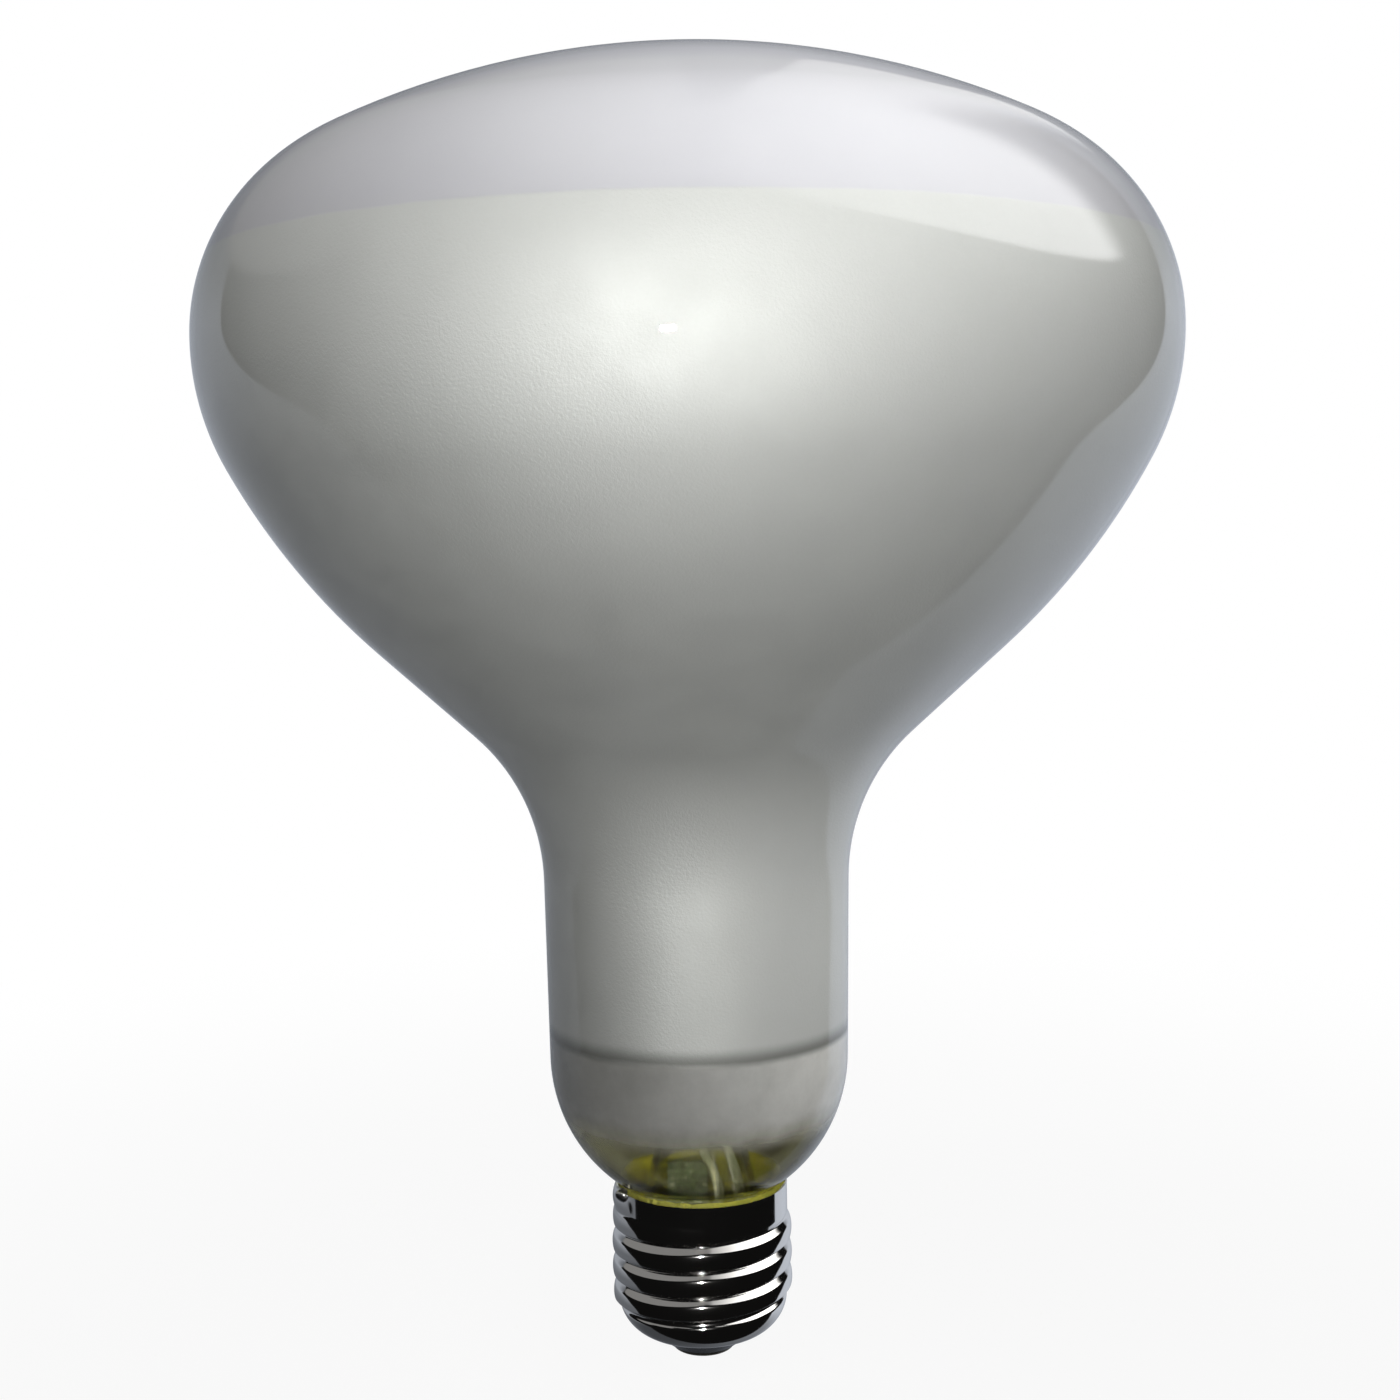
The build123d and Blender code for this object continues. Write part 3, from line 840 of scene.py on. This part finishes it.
cement, nodes = new_finish("baked_cement")
grit = nodes.grain(nodes.place(), per_mm=2.5, detail=4.0, roughness=0.7)
nodes.dress(
    Base_Color=nodes.mix(grit, *cement_shades),
    Roughness=0.75,
    Normal=nodes.bump(grit, depth=0.12),
)

mesh = bmesh.new()
pen = Pen(mesh, spigot_radius + cement_gap, cement_bottom, heading=90)
pen.run(fillet_height - cement_bottom, steps=8)
pen.turn(spigot_fillet_radius - cement_gap, -bead_angle, steps=10)
pen.to(skirt_inside, rim_height - bead_tuck, steps=6)
pen.to(skirt_inside, core_top + skirt_step, steps=4)
pen.to(core_inside, core_top, steps=2)
pen.to(core_inside, cement_bottom, steps=4)
mesh.edges.new((pen.tip, pen.first))
spin_round(mesh, cement_segments)
for vertex in mesh.verts:
    free = smooth_share(vertex.co.z / MM, rim_height - bead_edge, rim_height)
    coarse = vertex.co / MM * bead_lump_size
    lump = noise.noise(coarse) + fine_lump_share * noise.noise(coarse * fine_lump_factor)
    outward = Vector((vertex.co.x, vertex.co.y, 0)).normalized() + Vector((0, 0, 1))
    vertex.co += free * lump * bead_lump * MM * outward
bmesh.ops.recalc_face_normals(mesh, faces=mesh.faces)
new_piece(mesh, "cement_bead", [cement], "cement", "cap_cement")

# %% Rim solder
drop_turn = radians(206)
drop_radius = 1.15
drop_reach = 12.55
drop_height = 24.1
drop_lump = 0.18
drop_lump_size = 0.9
drop_lump_place = Vector((3, 1, 2))
drop_flatness = 0.85
drop_across = (drop_reach * cos(drop_turn), drop_reach * sin(drop_turn))
drop_middle = Vector((*drop_across, drop_height)) * MM

solder, nodes = new_finish("bright_solder")
frosty = nodes.grain(nodes.place(), per_mm=1.6, detail=3.0)
nodes.dress(
    Base_Color=nodes.mix(frosty, grey(0.45), grey(0.7)),
    Metallic=1.0,
    Roughness=frosty.between(0.12, 0.32),
    Normal=nodes.bump(frosty, depth=0.05, strength=0.5),
)

mesh = bmesh.new()
bmesh.ops.create_icosphere(mesh, subdivisions=4, radius=drop_radius * MM)
for vertex in mesh.verts:
    lump = noise.noise(vertex.co / MM * drop_lump_size + drop_lump_place)
    vertex.co *= 1 + drop_lump * lump
    vertex.co.z *= drop_flatness
    vertex.co += drop_middle
bmesh.ops.recalc_face_normals(mesh, faces=mesh.faces)
new_piece(mesh, "rim_solder_drop", [solder], "solder", "rim_solder")

# %% [markdown]
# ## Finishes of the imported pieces
#
# The stem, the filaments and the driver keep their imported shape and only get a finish. Patterns
# follow the place of each piece: the ends of a filament strip are bare tabs, the waist of the choke
# is wound with copper wire, and the can of the capacitor has a pale stripe. The box of a node gives
# those places.

# %% Metals and stem glass
wire_shades = ((0.40, 0.39, 0.37, 1), (0.66, 0.65, 0.62, 1))
contact_shades = ((0.13, 0.12, 0.10, 1), (0.34, 0.31, 0.26, 1))
bare_lining_shades = ((0.68, 0.69, 0.67, 1), (0.76, 0.77, 0.75, 1))
stem_tints = ((0.84, 0.86, 0.85, 1), (0.92, 0.94, 0.94, 1))

wire, nodes = new_finish("drawn_wire")
lengthwise = nodes.stretched(nodes.place(), (3.0, 3.0, 0.4))
drawn = nodes.grain(lengthwise, per_mm=2.0, detail=3.0)
nodes.dress(
    Base_Color=nodes.mix(drawn, *wire_shades),
    Metallic=1.0,
    Roughness=drawn.between(0.18, 0.38),
    Normal=nodes.bump(drawn, depth=0.02, strength=0.5),
)

contact, nodes = new_finish("worn_contact")
scratched = nodes.stretched(nodes.place(), (0.4, 2.5, 1.0))
worn = nodes.grain(scratched, per_mm=1.5, detail=4.0, roughness=0.6)
nodes.dress(
    Base_Color=nodes.mix(worn, *contact_shades),
    Metallic=1.0,
    Roughness=worn.between(0.3, 0.55),
    Normal=nodes.bump(worn, depth=0.02, strength=0.5),
)

lining, nodes = new_finish("aluminium_lining")
spot = nodes.place()
flakes = nodes.grain(spot, per_mm=3.5, detail=2.0, roughness=0.7)
nodes.dress(
    Base_Color=nodes.mix(nodes.grain(spot, per_mm=0.035, detail=3.0), *bare_lining_shades),
    Metallic=1.0,
    Roughness=flakes.between(0.3, 0.45),
    Normal=nodes.bump(flakes, depth=0.03, strength=0.5),
)

stem_glass, nodes = new_finish("stem_glass")
nodes.output(clear_shader(nodes, *stem_tints))
print("finishes so far", len(bpy.data.materials))

# %% Light source and leads
tab_length = 3.0
tab_blur = 0.1
strip_low, strip_high = (corner.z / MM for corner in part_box("led_filament_1"))
powder_low = strip_low + tab_length
powder_high = strip_high - tab_length
powder_shades = ((0.72, 0.48, 0.06, 1), (0.9, 0.68, 0.16, 1))
braid_along = 5
braid_across = 4
sleeve_shades = ((0.13, 0.14, 0.09, 1), (0.22, 0.23, 0.16, 1))

phosphor, nodes = new_finish("phosphor")
spot = nodes.place()
z = nodes.axes(spot)[2]
above_tab = z.step(powder_low - tab_blur, powder_low)
coated = above_tab * (1 - z.step(powder_high, powder_high + tab_blur))
powder = nodes.grain(spot, per_mm=2.0, detail=4.0, roughness=0.7)
nodes.dress(
    Base_Color=nodes.mix(coated, grey(0.6), nodes.mix(powder, *powder_shades)),
    Metallic=1 - coated,
    Roughness=coated.between(0.3, 0.65),
    Normal=nodes.bump(powder, depth=0.05, strength=0.6),
)

sleeve, nodes = new_finish("woven_sleeve")
x, _, z = nodes.axes(nodes.place())
rising = (z * braid_along + x * braid_across).sine()
falling = (z * braid_along - x * braid_across).sine()
braid = rising * falling * 0.5 + 0.5
nodes.dress(
    Base_Color=nodes.mix(braid, *sleeve_shades),
    Roughness=braid.between(0.45, 0.65),
    Normal=nodes.bump(braid, depth=0.05, strength=0.7),
)
print("strips from", round(strip_low, 1), "to", round(strip_high, 1))

# %% Driver board
board_cells = 0.5
track_edge = (0.05, 0.09)
pad_edge = (0.16, 0.2)
mask_shades = ((0.008, 0.020, 0.005, 1), (0.026, 0.046, 0.011, 1))
track_green = (0.05, 0.085, 0.025, 1)
pad_tin = (0.24, 0.23, 0.17, 1)

board, nodes = new_finish("green_board")
spot = nodes.place()
weave = nodes.grain(spot, per_mm=1.5, detail=3.0)
track = 1 - nodes.cells(spot, board_cells, "DISTANCE_TO_EDGE").step(*track_edge)
pad = 1 - nodes.cells(spot, board_cells).step(*pad_edge)
masked = nodes.mix(track, nodes.mix(weave, *mask_shades), track_green)
nodes.dress(
    Base_Color=nodes.mix(pad, masked, pad_tin),
    Roughness=weave.between(0.35, 0.55),
    Normal=nodes.bump(track.larger(pad), depth=0.05, strength=0.6),
)
print("finish", board.name)

# %% Capacitor
can_low, can_high = (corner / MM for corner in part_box("smoothing_capacitor"))
can_middle = (can_low + can_high) / 2
can_radius = (can_high.x - can_low.x) / 2
bare_depth = (0.3, 0.35)
bare_edge = (can_radius * 0.72, can_radius * 0.76)
vent_edge = (0.06, 0.12)
stripe_edge = (can_radius * 0.7, can_radius * 0.74)

can, nodes = new_finish("capacitor_sleeve")
spot = nodes.place()
x, y, z = nodes.axes(spot)
beside = x - can_middle.x
above = z - can_middle.z
near_end = 1 - (y - can_low.y).step(*bare_depth)
bare_end = near_end * (1 - (beside**2 + above**2).root().step(*bare_edge))
# The vent cross is a groove in the bare end, and it is painted darker there as painted shade.
vent_groove = 1 - beside.size().smaller(above.size()).step(*vent_edge)
wrinkle = nodes.grain(spot, per_mm=1.2, detail=3.0)
black_film = nodes.mix(wrinkle, grey(0.012), grey(0.035))
film = nodes.mix(beside.step(*stripe_edge), black_film, grey(0.42))
# On the bare end the dark grey in the vent groove is painted shade.
nodes.dress(
    Base_Color=nodes.mix(bare_end, film, nodes.mix(vent_groove, grey(0.62), grey(0.25))),
    Metallic=bare_end,
    Roughness=wrinkle.between(0.22, 0.42),
    Normal=nodes.bump(wrinkle - vent_groove * bare_end, depth=0.06, strength=0.5),
)
print("can radius", round(can_radius, 2))

# %% Choke
flange = 1.0
flange_blur = 0.05
turns_wave = 18
drum_low, drum_high = (corner.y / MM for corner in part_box("choke_coil"))
winding_low = drum_low + flange
winding_high = drum_high - flange
ferrite_shades = ((0.035, 0.033, 0.03, 1), (0.09, 0.085, 0.08, 1))
# The darker copper is painted shade in the gaps between the turns; the paler one is the wire's own
# colour.
copper_with_gap_shade = ((0.20, 0.06, 0.02, 1), (0.62, 0.26, 0.10, 1))

ferrite, nodes = new_finish("wound_ferrite")
spot = nodes.place()
y = nodes.axes(spot)[1]
past_flange = y.step(winding_low, winding_low + flange_blur)
wound = past_flange * (1 - y.step(winding_high - flange_blur, winding_high))
# 1 on the crown of each turn, 0 in the gap between turns, where the copper gets painted shade.
turns = (y * turns_wave).sine() * 0.5 + 0.5
speckle = nodes.grain(spot, per_mm=3.0, detail=4.0, roughness=0.7)
core = nodes.mix(speckle, *ferrite_shades)
nodes.dress(
    Base_Color=nodes.mix(wound, core, nodes.mix(turns, *copper_with_gap_shade)),
    Metallic=wound,
    Roughness=wound.between(0.6, 0.3),
    Normal=nodes.bump(turns * wound, depth=0.1, strength=0.8),
)
print("winding from", round(winding_low, 1), "to", round(winding_high, 1))

# %% Packages and fuse resistor
fuse_low, fuse_high = (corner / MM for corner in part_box("fuse_resistor"))
fuse_middle = (fuse_low + fuse_high) / 2
fuse_wire_edge = (0.45, 0.5)
ring_wave = 4.2
ring_edge = (0.62, 0.7)
lacquer_shades = ((0.10, 0.20, 0.24, 1), (0.15, 0.27, 0.31, 1))
ring_brown = (0.09, 0.03, 0.015, 1)

package, nodes = new_finish("black_package")
pits = nodes.grain(nodes.place(), per_mm=5.0, detail=3.0, roughness=0.7)
nodes.dress(
    Base_Color=nodes.mix(pits, grey(0.010), grey(0.032)),
    Roughness=pits.between(0.5, 0.75),
    Normal=nodes.bump(pits, depth=0.03, strength=0.6),
)

fuse, nodes = new_finish("lacquered_resistor")
spot = nodes.place()
x, y, z = nodes.axes(spot)
from_axis = ((x - fuse_middle.x) ** 2 + (y - fuse_middle.y) ** 2).root()
body = from_axis.step(*fuse_wire_edge)
ring = (z * ring_wave).sine().step(*ring_edge)
lacquer = nodes.grain(spot, per_mm=1.0, detail=2.0)
coat = nodes.mix(ring, nodes.mix(lacquer, *lacquer_shades), ring_brown)
nodes.dress(
    Base_Color=nodes.mix(body, grey(0.6), coat),
    Metallic=1 - body,
    Roughness=lacquer.between(0.22, 0.37),
    Normal=nodes.bump(lacquer, depth=0.05, strength=0.5),
)
print("finishes", package.name, fuse.name)

# %% Insulator
black_glass, nodes = new_finish("black_glass")
spot = nodes.place()
dust = nodes.grain(spot, per_mm=1.2, detail=4.0, roughness=0.7)
nodes.dress(
    Base_Color=nodes.mix(dust, grey(0.008), grey(0.03)),
    Roughness=dust.between(0.15, 0.35),
    Specular_IOR_Level=0.35,
    Normal=nodes.bump(nodes.grain(spot, per_mm=0.8, detail=2.0), depth=0.02, strength=0.4),
)
print("finish", black_glass.name)

# %% Finish of every slot
finish_of_slot = {
    "envelope_glass": lined_glass,
    "aluminium_lining": lining,
    "stem_glass": stem_glass,
    "wire": wire,
    "sleeve": sleeve,
    "phosphor": phosphor,
    "board": board,
    "capacitor_sleeve": can,
    "ferrite": ferrite,
    "black_package": package,
    "resistor_body": fuse,
    "nickel_plate": nickel,
    "black_glass": black_glass,
    "contact_metal": contact,
    "solder": solder,
    "cement": cement,
}
for subpart in frame["record"]["subparts"]:
    data = frame["nodes"][subpart["node"]].data
    data.materials.clear()
    data.materials.append(finish_of_slot[subpart["material_slot"]])
